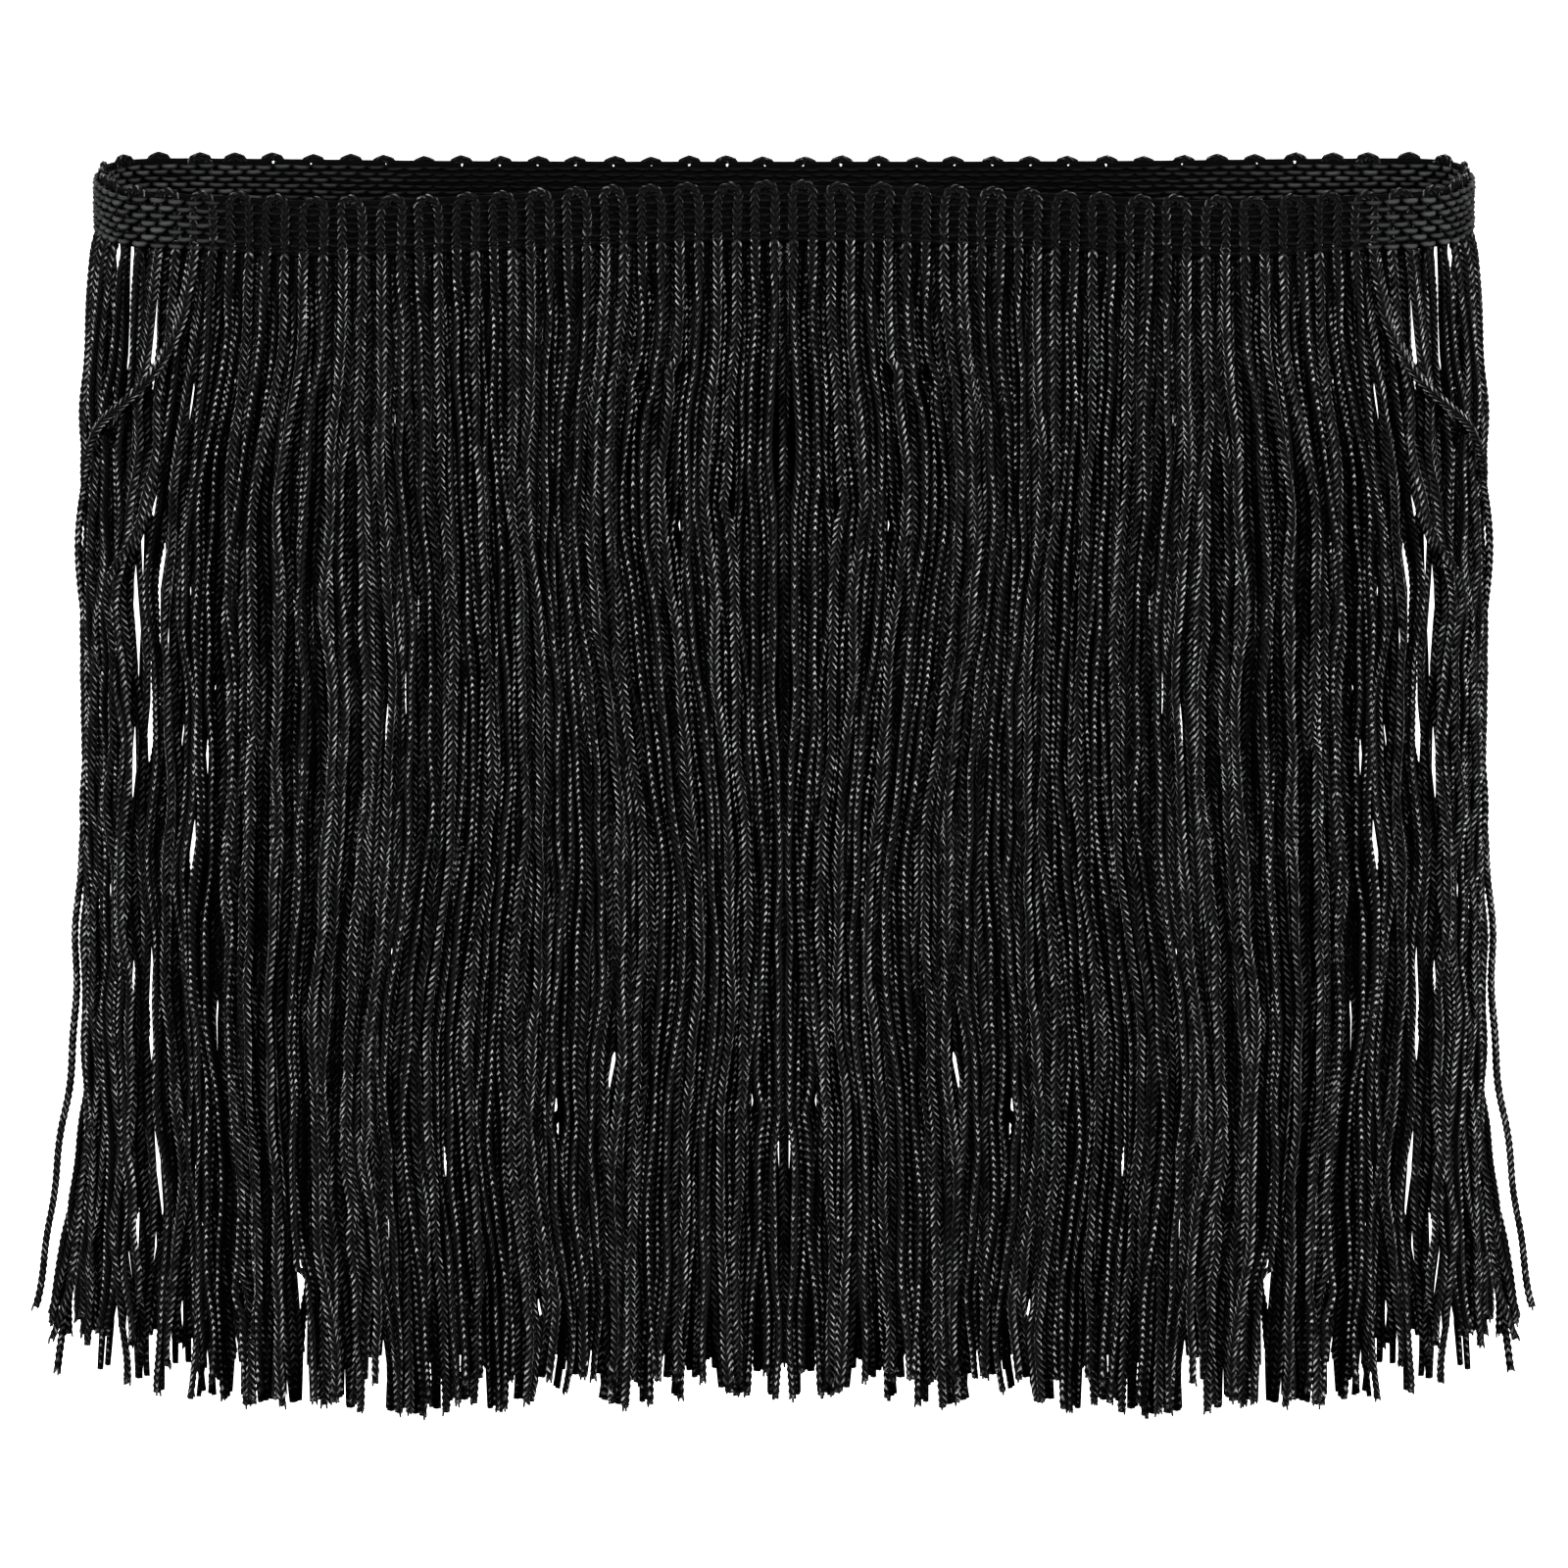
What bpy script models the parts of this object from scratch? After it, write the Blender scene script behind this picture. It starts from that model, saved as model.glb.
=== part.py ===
"""Tassel fringe trim: a looped heading closed into a flattened ring, with chainette strands below.

Everything is first laid out flat, as the trim comes off the machine: `along` runs along the trim from
the middle of the front, `out` is the distance from its middle layer towards the outside, and `level`
is the height, 0 at the top edge and negative below it. `wrap` then carries the flat trim round the
ring's plan. Sizes are in millimetres until `wrap` turns them into metres.
"""

import bmesh
import bpy
import numpy as np

MILLIMETRE = 0.001
SEAM_DISTANCE = 1e-6  # metres: corners this close on a seam are one
CLEARANCE = 0.3  # between neighbouring pieces

# Heading
HEADING_HEIGHT = 10.3
HEADING_THICKNESS = 1.5
LOOPS = 80  # chainette loops laid into the heading, two legs each
COLUMNS = 4 * LOOPS  # leg, arch, leg and valley of each loop in turn
RIB_RELIEF = 0.35  # a leg stands this far proud of the arch and valley beside it
ARCH_LEVEL = 0.0
LEG_LEVEL = -0.4
VALLEY_LEVEL = -1.2

# Plan of the ring, right half, from the middle of the back to the middle of the front
PLAN = (
    # x, y
    (0.0, 0.0),
    (50.0, 0.5),
    (84.0, 2.6),
    (102.6, 3.0),
    (109.2, -0.8),
    (110.6, -8.5),
    (109.6, -17.5),
    (105.6, -26.6),
    (97.0, -30.8),
    (87.0, -33.8),
    (76.0, -37.2),
    (64.0, -36.6),
    (52.0, -33.4),
    (38.0, -29.4),
    (20.0, -25.2),
    (0.0, -23.0),
)
PLAN_STEPS = 24  # points between two rows of PLAN

# Strip that the strands' roots are fused into, under the heading
STRIP_HEIGHT = 2.0
STRIP_THICKNESS = 2.8

# Strands
STRAND_WIDTH = 1.3
STRAND_THICKNESS = 1.1
ROW_OFFSET = 0.8  # the outer and the inner row hang this far either side of the middle layer
LEVELS = (-55.0, -105.0, -160.0)  # where a strand bends, between its root and its tip
TIP_LEVEL = -203.6
TIP_RISE = (
    # along, rise: the cut edge climbs towards the ends of the ring
    (0.0, 0.6),
    (30.0, 0.0),
    (41.0, 2.6),
    (52.0, 0.2),
    (62.0, 0.6),
    (74.0, 3.0),
    (97.0, 2.6),
    (108.0, 9.0),
    (135.0, 8.5),
    (160.0, 1.5),
    (250.0, 0.0),
)
TIP_RAGGED = 6.5  # the shortest strand ends this far above the longest beside it
SPARSE_REACH = 31.0  # every other inner strand is missing this near to an end of the ring

# Bends that neighbouring strands share
BENDS = (
    # along, level, reach along, reach down, shift away from the middle
    (24.0, -52.0, 17.0, 26.0, 3.2),
    (22.0, -124.0, 17.0, 30.0, -3.4),
    (57.0, -88.0, 19.0, 34.0, -2.6),
    (62.0, -150.0, 22.0, 34.0, 2.6),
    (92.0, -60.0, 17.0, 26.0, 2.4),
    (92.0, -118.0, 16.0, 30.0, 2.6),
    (40.0, -186.0, 20.0, 24.0, -2.2),
    (150.0, -70.0, 22.0, 34.0, 2.4),
    (176.0, -130.0, 24.0, 36.0, -2.8),
    (214.0, -84.0, 22.0, 30.0, 2.6),
    (224.0, -166.0, 20.0, 32.0, -2.4),
)
SWAY = 0.12  # each strand's own wander from its neighbours' way
SWAY_LENGTH = 62.0
BILLOW = 0.9  # the rows swing in and out together
BILLOW_ALONG = 46.0
BILLOW_DOWN = 120.0

# The fringe widens below the heading, and once more at its cut edge
WIDENING = 2.3
WIDENING_DEPTH = 10.0
FLARE = 2.6
FLARE_POWER = 6
FLARE_NARROWING = 4  # the middle of the ring hardly moves

# Strands that leave their place: a column is counted from the middle of the front, on both sides
STRAYS = (
    # column, lifts from, crosses from, crosses to, lift, shift
    (63, -16.0, -29.0, -47.0, 1.6, 16.0),
    (65, -42.0, -52.0, -70.0, 1.6, 5.5),
)
CROSSING_STEPS = 6  # straight lengths that carry a stray round the bend of the ring
LONERS = (
    # column, leaves at, reach outwards at its tip, tip rise
    (81, -90.0, 4.0, 1.5),
    (77, -165.0, 3.6, 0.5),
    (83, -182.0, 2.6, 0.5),
    (71, -178.0, 2.8, 2.0),
)

RANDOM_SEED = 41


def smooth_plan():
    """Catmull-Rom curve through PLAN and its mirror image, as points with distances along it."""
    half = np.array(PLAN)
    mirrored = half[1:-1][::-1] * (-1.0, 1.0)
    corners = np.concatenate([half[::-1], mirrored[::-1]])
    before, after, beyond = (np.roll(corners, shift, axis=0) for shift in (1, -1, -2))
    step = (np.arange(PLAN_STEPS) / PLAN_STEPS)[:, None, None]
    points = 0.5 * (
        2 * corners
        + (after - before) * step
        + (2 * before - 5 * corners + 4 * after - beyond) * step**2
        + (3 * corners - before - 3 * after + beyond) * step**3
    )
    points = points.transpose(1, 0, 2).reshape(-1, 2)
    points = np.concatenate([points, points[:1]])
    spans = np.linalg.norm(np.diff(points, axis=0), axis=1)
    return points, np.concatenate([[0.0], np.cumsum(spans)])


PLAN_POINTS, PLAN_DISTANCES = smooth_plan()
LENGTH = PLAN_DISTANCES[-1]
PITCH = LENGTH / COLUMNS
END_ALONG = PLAN_DISTANCES[np.argmax(PLAN_POINTS[:, 0])]


def on_plan(along):
    """Point of the ring's middle layer at a distance along the trim."""
    x = np.interp(along, PLAN_DISTANCES, PLAN_POINTS[:, 0], period=LENGTH)
    y = np.interp(along, PLAN_DISTANCES, PLAN_POINTS[:, 1], period=LENGTH)
    return np.stack([x, y], axis=-1)


def wrap(flat):
    """Flat trim (along, out, level) in millimetres to the standing ring in metres."""
    along, out, level = flat.T
    reach = 1.0
    tangent = on_plan(along + reach) - on_plan(along - reach)
    tangent /= np.linalg.norm(tangent, axis=1)[:, None]
    outward = np.stack([tangent[:, 1], -tangent[:, 0]], axis=1)
    place = on_plan(along) + outward * out[:, None]
    drop = np.maximum(0.0, -level - HEADING_HEIGHT)
    full_drop = -TIP_LEVEL - HEADING_HEIGHT
    spread = WIDENING * (1 - np.exp(-drop / WIDENING_DEPTH)) + FLARE * (drop / full_drop) ** FLARE_POWER
    half_width = np.max(PLAN_POINTS[:, 0])
    sideways = place[:, 0] / half_width
    place[:, 0] += spread * sideways * np.abs(sideways) ** FLARE_NARROWING
    return np.column_stack([place, level]) * MILLIMETRE


def ease(value, start, stop):
    """0 at start, 1 at stop, with a smooth rise between."""
    share = np.clip((value - start) / (stop - start), 0.0, 1.0)
    return share * share * (3 - 2 * share)


def random_columns():
    """Raggedness and sway of each column of half the ring; the other half repeats them."""
    return np.random.default_rng(RANDOM_SEED).random((COLUMNS // 2 + 1, 2))


RANDOM = random_columns()


def side_and_twin(column):
    """Which half of the ring a column is on (1 or -1, 0 on the mirror line) and its column there."""
    column %= COLUMNS
    if column > COLUMNS // 2:
        return -1, COLUMNS - column
    return (0 if column in (0, COLUMNS // 2) else 1), column


def is_outer(column):
    """The legs of the loops hang in the outer row, the other strands behind their gaps."""
    return column % 2 == 1


def is_present(column):
    """The inner row is sparser round the ends of the ring."""
    _, twin = side_and_twin(column)
    near_end = abs(twin * PITCH - END_ALONG) < SPARSE_REACH
    return is_outer(column) or not (near_end and twin % 4 == 2)


def tip_level(column):
    """Level at which a strand was cut."""
    _, twin = side_and_twin(column)
    rise = np.interp(twin * PITCH, *np.array(TIP_RISE).T)
    ragged = TIP_RAGGED * RANDOM[twin, 0] ** 2.2
    lone = sum(lone_rise for lone_column, _, _, lone_rise in LONERS if lone_column == twin)
    return TIP_LEVEL + rise + ragged + lone


def strand_place(column, level):
    """Where a strand's middle is at a level, as (along, out)."""
    side, twin = side_and_twin(column)
    place = twin * PITCH
    out = ROW_OFFSET if is_outer(column) else -ROW_OFFSET
    for stray, lifts_from, crosses_from, crosses_to, lift, amount in STRAYS:
        if stray == twin:
            out += lift * ease(-level, -lifts_from, -crosses_from)
            place += amount * ease(-level, -crosses_from, -crosses_to)
    for lone, leaves, reach, _ in LONERS:
        if lone == twin:
            out += reach * np.clip((leaves - level) / (leaves - tip_level(column)), 0.0, 1.0) ** 1.5
    shift = SWAY * np.sin(2 * np.pi * (level / SWAY_LENGTH + RANDOM[twin, 1]))
    for along, bend_level, reach_along, reach_down, amount in BENDS:
        across = np.exp(-(((place - along) / reach_along) ** 2))
        shift += amount * across * np.exp(-(((level - bend_level) / reach_down) ** 2))
    hang = ease(-level, HEADING_HEIGHT, HEADING_HEIGHT + 30.0)
    out += hang * BILLOW * np.sin((END_ALONG - place) / BILLOW_ALONG - level / BILLOW_DOWN)
    return column * PITCH + side * (place - twin * PITCH + hang * shift), out


def strand_levels(column):
    """Levels of a strand's bends and tip, with more where it leaves its place."""
    _, twin = side_and_twin(column)
    levels = set(LEVELS)
    for stray, lifts_from, crosses_from, crosses_to, _, _ in STRAYS:
        if stray == twin:
            levels |= {lifts_from, *np.linspace(crosses_from, crosses_to, CROSSING_STEPS + 1)}
    return sorted(levels, reverse=True) + [tip_level(column)]


def material(name, colour, roughness):
    """Plain cloth finish."""
    made = bpy.data.materials.new(name)
    made.use_nodes = True
    shader = made.node_tree.nodes["Principled BSDF"]
    shader.inputs["Base Color"].default_value = (*colour, 1.0)
    shader.inputs["Roughness"].default_value = roughness
    shader.inputs["Metallic"].default_value = 0.0
    return made


def finish(name, bm, collection, finish_material):
    """Object for a flat mesh, wrapped round the ring."""
    flat = np.array([vert.co for vert in bm.verts])
    for vert, place in zip(bm.verts, wrap(flat)):
        vert.co = place
    bmesh.ops.remove_doubles(bm, verts=bm.verts, dist=SEAM_DISTANCE)
    bmesh.ops.recalc_face_normals(bm, faces=bm.faces)
    mesh_data = bpy.data.meshes.new(name)
    bm.to_mesh(mesh_data)
    bm.free()
    mesh_data.materials.append(finish_material)
    made = bpy.data.objects.new(name, mesh_data)
    collection.objects.link(made)
    return made


def heading(collection, finish_material):
    """Band with a rib for each leg and a scalloped top: a grid rolled into a tube and closed to a ring."""
    bm = bmesh.new()
    bmesh.ops.create_grid(bm, x_segments=COLUMNS, y_segments=4, size=0.5)
    for vert in bm.verts:
        column = round((vert.co.x + 0.5) * COLUMNS)
        corner = round((vert.co.y + 0.5) * 4) % 4  # outer foot, outer top, inner top, inner foot
        leg, valley = column % 2 == 1, column % 4 == 0
        top = LEG_LEVEL if leg else VALLEY_LEVEL if valley else ARCH_LEVEL
        outer = HEADING_THICKNESS / 2 - (0.0 if leg else RIB_RELIEF)
        vert.co = (
            column * PITCH,
            outer if corner in (0, 1) else -HEADING_THICKNESS / 2,
            top if corner in (1, 2) else -HEADING_HEIGHT,
        )
    return finish("heading", bm, collection, finish_material)


def strip(columns):
    """Flat strip, and the cells of its underside: two rows, with a column to each strand's place."""
    first_edge, last_edge = columns[0] - 0.5, columns[-1] + 0.5
    bm = bmesh.new()
    bmesh.ops.create_grid(bm, x_segments=len(columns), y_segments=2, size=0.5)
    under = -HEADING_HEIGHT - CLEARANCE - STRIP_HEIGHT
    for vert in bm.verts:
        edge = first_edge + round((vert.co.x + 0.5) * len(columns))
        parting = {first_edge: CLEARANCE / 2, last_edge: -CLEARANCE / 2}.get(edge, 0.0)
        vert.co = (edge * PITCH + parting, vert.co.y * STRIP_THICKNESS, under)
    cells = list(bm.faces)
    raised = bmesh.ops.extrude_face_region(bm, geom=cells, use_keep_orig=True)["geom"]
    for vert in (item for item in raised if isinstance(item, bmesh.types.BMVert)):
        vert.co.z += STRIP_HEIGHT
    top_middle = [
        item
        for item in raised
        if isinstance(item, bmesh.types.BMEdge) and all(abs(vert.co.y) < CLEARANCE for vert in item.verts)
    ]
    bmesh.ops.dissolve_edges(bm, edges=top_middle, use_verts=True)
    return bm, cells


def draw_strand(bm, cell, column):
    """Strand drawn down from its root cell, one four-sided length after another."""
    middle = cell.calc_center_median()
    here = (middle.x, middle.y)
    for level in strand_levels(column):
        cell = bmesh.ops.extrude_discrete_faces(bm, faces=[cell])["faces"][0]
        along, out = strand_place(column, level)
        for vert in cell.verts:
            vert.co = (
                along + np.copysign(STRAND_WIDTH / 2, vert.co.x - here[0]),
                out + np.copysign(STRAND_THICKNESS / 2, vert.co.y - here[1]),
                level,
            )
        here = (along, out)


def fringe(name, columns, collection, finish_material):
    """Strands of one stretch of the ring, their roots fused into its strip."""
    bm, cells = strip(columns)
    for cell in cells:
        middle = cell.calc_center_median()
        column = round(middle.x / PITCH)
        if is_outer(column) == (middle.y > 0) and is_present(column):
            draw_strand(bm, cell, column)
    return finish(name, bm, collection, finish_material)


def stretches():
    """Columns of the front, right end, back and left end, each starting where the last one stops."""
    end_column = round(END_ALONG / PITCH / 4) * 4
    end_from, end_to = end_column - 8, end_column + 8
    return {
        "fringe_front": range(-end_from, end_from + 1),
        "fringe_end_right": range(end_from + 1, end_to + 1),
        "fringe_back": range(end_to + 1, COLUMNS - end_to),
        "fringe_end_left": range(COLUMNS - end_to, COLUMNS - end_from),
    }


def main():
    """Builds the heading and the four stretches of fringe."""
    for old in list(bpy.data.objects):
        bpy.data.objects.remove(old)
    collection = bpy.data.collections.new("tassel_fringe_trim")
    bpy.context.scene.collection.children.link(collection)
    heading(collection, material("heading_yarn", (0.012, 0.012, 0.013), 0.75))
    chainette = material("chainette", (0.010, 0.011, 0.012), 0.45)
    for name, columns in stretches().items():
        fringe(name, columns, collection, chainette)


main()
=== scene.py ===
"""Looks of a looped chainette fringe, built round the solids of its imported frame.

The trim is laid out flat first, as it comes off the machine: `along` runs along it from the middle
of the front, `out` is the distance from its middle layer towards the outside, and `level` is the
height, 0 at the top edge and negative below it. `TrimLayout.wrap` carries the flat trim round the
ring's plan. Layout sizes are in millimetres until `wrap` turns them into metres.
"""

import logging
import math
from dataclasses import dataclass, field
from enum import Enum, IntEnum
from typing import Any, Callable, Sequence

import bpy
import numpy as np
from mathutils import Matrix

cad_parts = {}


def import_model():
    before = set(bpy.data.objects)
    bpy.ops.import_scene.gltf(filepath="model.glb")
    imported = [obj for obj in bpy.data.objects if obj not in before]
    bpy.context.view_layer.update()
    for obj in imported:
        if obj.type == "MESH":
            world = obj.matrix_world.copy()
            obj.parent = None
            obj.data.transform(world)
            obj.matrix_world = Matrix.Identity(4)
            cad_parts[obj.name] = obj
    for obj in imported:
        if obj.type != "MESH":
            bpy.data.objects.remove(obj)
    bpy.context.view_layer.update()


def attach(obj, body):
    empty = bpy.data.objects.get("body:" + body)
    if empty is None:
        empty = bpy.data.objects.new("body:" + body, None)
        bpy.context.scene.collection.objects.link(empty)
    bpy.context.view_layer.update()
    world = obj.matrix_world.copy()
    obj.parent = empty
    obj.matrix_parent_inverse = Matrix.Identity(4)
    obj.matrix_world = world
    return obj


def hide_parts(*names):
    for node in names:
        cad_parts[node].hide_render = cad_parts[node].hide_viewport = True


MILLIMETRE = 0.001
RANDOM_SEED = 41
LOOKS_SEED = 200
HIDDEN_SEED = 80398
STRAY_TONE = 0.2
TAU = 2.0 * math.pi

Array = np.ndarray
Colour = tuple[float, float, float]

# Where the front view is taken from: degrees above level, and metres from its target
VIEW_ELEVATION = 12.0
VIEW_DISTANCE = 2.5
VIEW_TARGET = (0.0, -0.023, -0.0998)

# Plan of the ring, right half, from the middle of the back to the middle of the front
PLAN = (
    # x, y
    (0.0, 0.0),
    (50.0, 0.5),
    (84.0, 2.6),
    (102.6, 3.0),
    (109.2, -0.8),
    (110.6, -8.5),
    (109.6, -17.5),
    (105.6, -26.6),
    (97.0, -30.8),
    (87.0, -33.8),
    (76.0, -37.2),
    (64.0, -36.6),
    (52.0, -33.4),
    (38.0, -29.4),
    (20.0, -25.2),
    (0.0, -23.0),
)
TIP_RISE = (
    # along, rise: the cut edge climbs towards the ends of the ring
    (0.0, 0.6),
    (30.0, 0.0),
    (41.0, 2.6),
    (52.0, 0.2),
    (62.0, 0.6),
    (74.0, 3.0),
    (97.0, 2.6),
    (108.0, 9.0),
    (135.0, 8.5),
    (160.0, 1.5),
    (250.0, 0.0),
)
BENDS = (
    # along, level, reach along, reach down, shift away from the middle
    (24.0, -52.0, 17.0, 26.0, 3.2),
    (22.0, -124.0, 17.0, 30.0, -3.4),
    (57.0, -88.0, 19.0, 34.0, -2.6),
    (62.0, -150.0, 22.0, 34.0, 2.6),
    (92.0, -60.0, 17.0, 26.0, 2.4),
    (92.0, -118.0, 16.0, 30.0, 2.6),
    (40.0, -186.0, 20.0, 24.0, -2.2),
    (150.0, -70.0, 22.0, 34.0, 2.4),
    (176.0, -130.0, 24.0, 36.0, -2.8),
    (214.0, -84.0, 22.0, 30.0, 2.6),
    (224.0, -166.0, 20.0, 32.0, -2.4),
)
STRAYS = (
    # column, lifts from, crosses from, crosses to, lift, shift
    (63, -13.0, -18.0, -58.0, 1.8, 21.0),
    (65, -42.0, -52.0, -70.0, 1.6, 5.5),
)
LONERS = (
    # column, leaves at, reach outwards at its tip, tip rise
    (81, -90.0, 5.2, 0.5),
    (77, -172.0, 5.4, 0.5),
    (83, -150.0, 3.8, 0.5),
    (71, -178.0, 2.8, 2.0),
)
PARTINGS = (
    # across, up, half height, half gap: slits through both curtains, seen from the front
    (28.1, -46.0, 7.5, 0.7),
    (23.4, 65.1, 2.2, 0.5),
    (17.7, 67.1, 1.5, 0.25),
    (4.8, -53.6, 2.0, 0.35),
    (36.7, -54.5, 2.6, 0.4),
    (67.1, -60.4, 1.8, 0.3),
    (71.6, -69.4, 2.0, 0.25),
    (39.6, -84.7, 2.2, 0.35),
    (78.6, -80.7, 2.4, 0.35),
    (88.4, -83.4, 2.8, 0.4),
    (67.9, -86.9, 3.4, 0.3),
    (86.9, 8.6, 1.5, 0.25),
    (17.1, 41.0, 1.4, 0.25),
    (8.9, 45.5, 1.4, 0.25),
)
HIDDEN_SHARE = (
    # distance from an end of the ring, share of the columns that have a strand in a hidden row
    (0.0, 0.25),
    (5.0, 0.25),
    (8.0, 0.0),
    (12.0, 0.0),
    (16.0, 0.3),
    (26.0, 0.85),
    (34.0, 1.0),
)
FLOOR_CORNERS = ((-1, -1), (1, -1), (1, 1), (-1, 1))
BAND_SECTION = (
    # out as a share of the half thickness, height as a share of the band
    *((1.0, 0.04), (1.0, 0.3), (1.0, 0.6), (0.9, 0.9), (0.5, 1.0), (-0.5, 1.0)),
    *((-0.9, 0.9), (-1.0, 0.6), (-1.0, 0.3), (-1.0, 0.04), (-0.5, 0.0), (0.5, 0.0)),
)


class Row(Enum):
    """The rows that the strands hang in: two in the open, and two behind that fill their gaps."""

    OUTER = "outer"
    INNER = "inner"
    FILLER = "filler"
    BACKING = "backing"

    @property
    def hidden(self) -> bool:
        """Whether it is one of the rows behind the open ones."""
        return self in (Row.FILLER, Row.BACKING)


ROWS = {
    # columns further on, then out of the middle layer at the root, below the heading and settled
    Row.OUTER: (0.0, 0.45, 0.8, 0.42),
    Row.INNER: (0.0, -0.8, -0.8, -0.42),
    Row.FILLER: (0.5, -0.7, -0.7, -2.2),
    Row.BACKING: (0.25, -0.7, -2.2, -3.6),
}


class Look(IntEnum):
    """What each random number of a column decides. Some decide two things."""

    WANDER_OUT = 0
    ARCH_WIDTH = 2
    WANDER_ALONG = 3
    ARCH_HEIGHT = 3
    CURL_ALONG = 4
    ARCH_LEAN = 4
    CURL_OUT = 5
    ARCH_OUT = 5
    BACKING = 6
    SLANT = 7
    TWIST_LENGTH = 7
    TWIST_START = 8
    TONE = 9
    FILLER = 10
    SPLAY = 11
    EYE = 11
    LEAN = 12


def ease(value: Array | float, start: float, stop: float) -> Array:
    """0 at start, 1 at stop, with a smooth rise between."""
    share = np.clip((value - start) / (stop - start), 0.0, 1.0)
    return share * share * (3 - 2 * share)


def draws(seed: int, *shape: int) -> Array:
    """Random numbers from 0 to 1."""
    return np.random.default_rng(seed).random(shape)


def unit(vectors: Array) -> Array:
    """The same vectors at length 1."""
    return vectors / np.linalg.norm(vectors, axis=-1, keepdims=True)


def turned(first: Array, second: Array, angle: Array) -> tuple[Array, Array]:
    """Two crossed unit vectors, both turned by an angle in their own plane."""
    cosine, sine = np.cos(angle)[..., None], np.sin(angle)[..., None]
    return first * cosine + second * sine, second * cosine - first * sine


@dataclass
class TrimLayout:
    """Where the heading and every strand lie.

    The plan is a Catmull-Rom curve through PLAN and its mirror image. A strand starts at its
    column's place, and its wander, the shared bends and the swing of its row move it as it hangs.
    """

    loops: int = 80
    heading_height: float = 10.3
    plan_steps: int = 24
    tip_level: float = -203.6
    tip_ragged: float = 6.5
    tip_power: float = 2.2
    sparse_reach: float = 31.0
    # How far the fringe spreads to the sides: just below the heading and at its cut edge
    widening: float = 2.3
    widening_depth: float = 10.0
    flare: float = 2.6
    flare_power: int = 6
    flare_narrowing: int = 4
    # Below the heading's foot: where strands leave its face, settle and hang free
    leave: tuple[float, float] = (-1.7, 4.0)
    settle_depth: float = 26.0
    hang_depth: float = 30.0
    # Strays sink back between the others; loners leave them
    rejoin_share: float = 0.7
    rejoin_reach: float = 20.0
    loner_power: float = 1.5
    # Sines: a sway, a swing of the rows in and out, and each strand's own wander
    sway: float = 0.12
    sway_length: float = 62.0
    billow: float = 0.9
    billow_along: float = 46.0
    billow_down: float = 120.0
    wander: float = 0.3
    wander_out: float = 1.2
    slow_wander: tuple[float, float] = (34.0, 22.0)
    quick_wander: tuple[float, float] = (15.0, 9.0)
    quick_share: float = 0.45
    hidden_wander: float = 0.5
    hidden_quick_share: float = 0.1
    backing_start: float = 31.0
    # What changes near the ends of the ring, with the distances from them between which it does
    looseness: float = 0.8
    loose_reach: tuple[float, float] = (18.0, 50.0)
    slant: float = 4.0
    slant_length: float = 100.0
    slant_reach: tuple[float, float] = (30.0, 50.0)
    lean: float = 4.5
    hidden_lean: float = 0.5
    lean_from: tuple[float, float] = (4.0, 14.0)
    lean_to: tuple[float, float] = (45.0, 75.0)
    lean_depth: float = 75.0
    # The cut ends
    curl: float = 3.2
    curl_length: float = 30.0
    splay: float = 4.2
    splay_reach: tuple[float, float] = (8.0, 26.0)
    # Partings: half width that a strand covers, softness, fading distances, hidden rows' own reach
    cover: float = 0.82
    parting_core: float = 0.02
    parting_fade: tuple[float, float] = (3.0, 8.0)
    hidden_parting: float = 8.0
    points: Array = field(init=False)
    distances: Array = field(init=False)
    cuts: Array = field(init=False)
    sway_starts: Array = field(init=False)
    looks: Array = field(init=False)

    def __post_init__(self) -> None:
        """Works out the plan's curve and the random numbers of each column."""
        half = np.array(PLAN)
        mirrored = half[1:-1][::-1] * (-1.0, 1.0)
        corners = np.concatenate([half[::-1], mirrored[::-1]])
        before, after, beyond = (np.roll(corners, shift, axis=0) for shift in (1, -1, -2))
        step = (np.arange(self.plan_steps) / self.plan_steps)[:, None, None]
        points = 0.5 * (
            2 * corners
            + (after - before) * step
            + (2 * before - 5 * corners + 4 * after - beyond) * step**2
            + (3 * corners - before - 3 * after + beyond) * step**3
        )
        points = points.transpose(1, 0, 2).reshape(-1, 2)
        self.points = np.concatenate([points, points[:1]])
        spans = np.linalg.norm(np.diff(self.points, axis=0), axis=1)
        self.distances = np.concatenate([[0.0], np.cumsum(spans)])
        half_columns = self.columns // 2 + 1
        self.cuts, self.sway_starts = draws(RANDOM_SEED, half_columns, 2).T
        self.looks = draws(LOOKS_SEED, half_columns, max(Look) + 1)
        self.looks[:, [Look.BACKING, Look.FILLER]] = draws(HIDDEN_SEED, half_columns, 2)
        self.looks[[stray for stray, *_ in STRAYS], Look.TONE] = STRAY_TONE

    @property
    def columns(self) -> int:
        """Leg, arch, leg and valley of each loop in turn."""
        return 4 * self.loops

    @property
    def length(self) -> float:
        """Length of the heading round the ring."""
        return self.distances[-1]

    @property
    def pitch(self) -> float:
        """Distance from one column to the next."""
        return self.length / self.columns

    @property
    def end_along(self) -> float:
        """Where along the trim the right end of the ring is."""
        return self.distances[np.argmax(self.points[:, 0])]

    def on_plan(self, along: Array) -> Array:
        """Point of the middle layer at a distance along the trim."""
        x = np.interp(along, self.distances, self.points[:, 0], period=self.length)
        y = np.interp(along, self.distances, self.points[:, 1], period=self.length)
        return np.stack([x, y], axis=-1)

    def outward(self, along: Array) -> Array:
        """Level unit vector that points out of the ring at a distance along the trim."""
        tangent = unit(self.on_plan(along + 1.0) - self.on_plan(along - 1.0))
        level = np.zeros_like(tangent[..., 0])
        return np.stack([tangent[..., 1], -tangent[..., 0], level], axis=-1)

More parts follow.
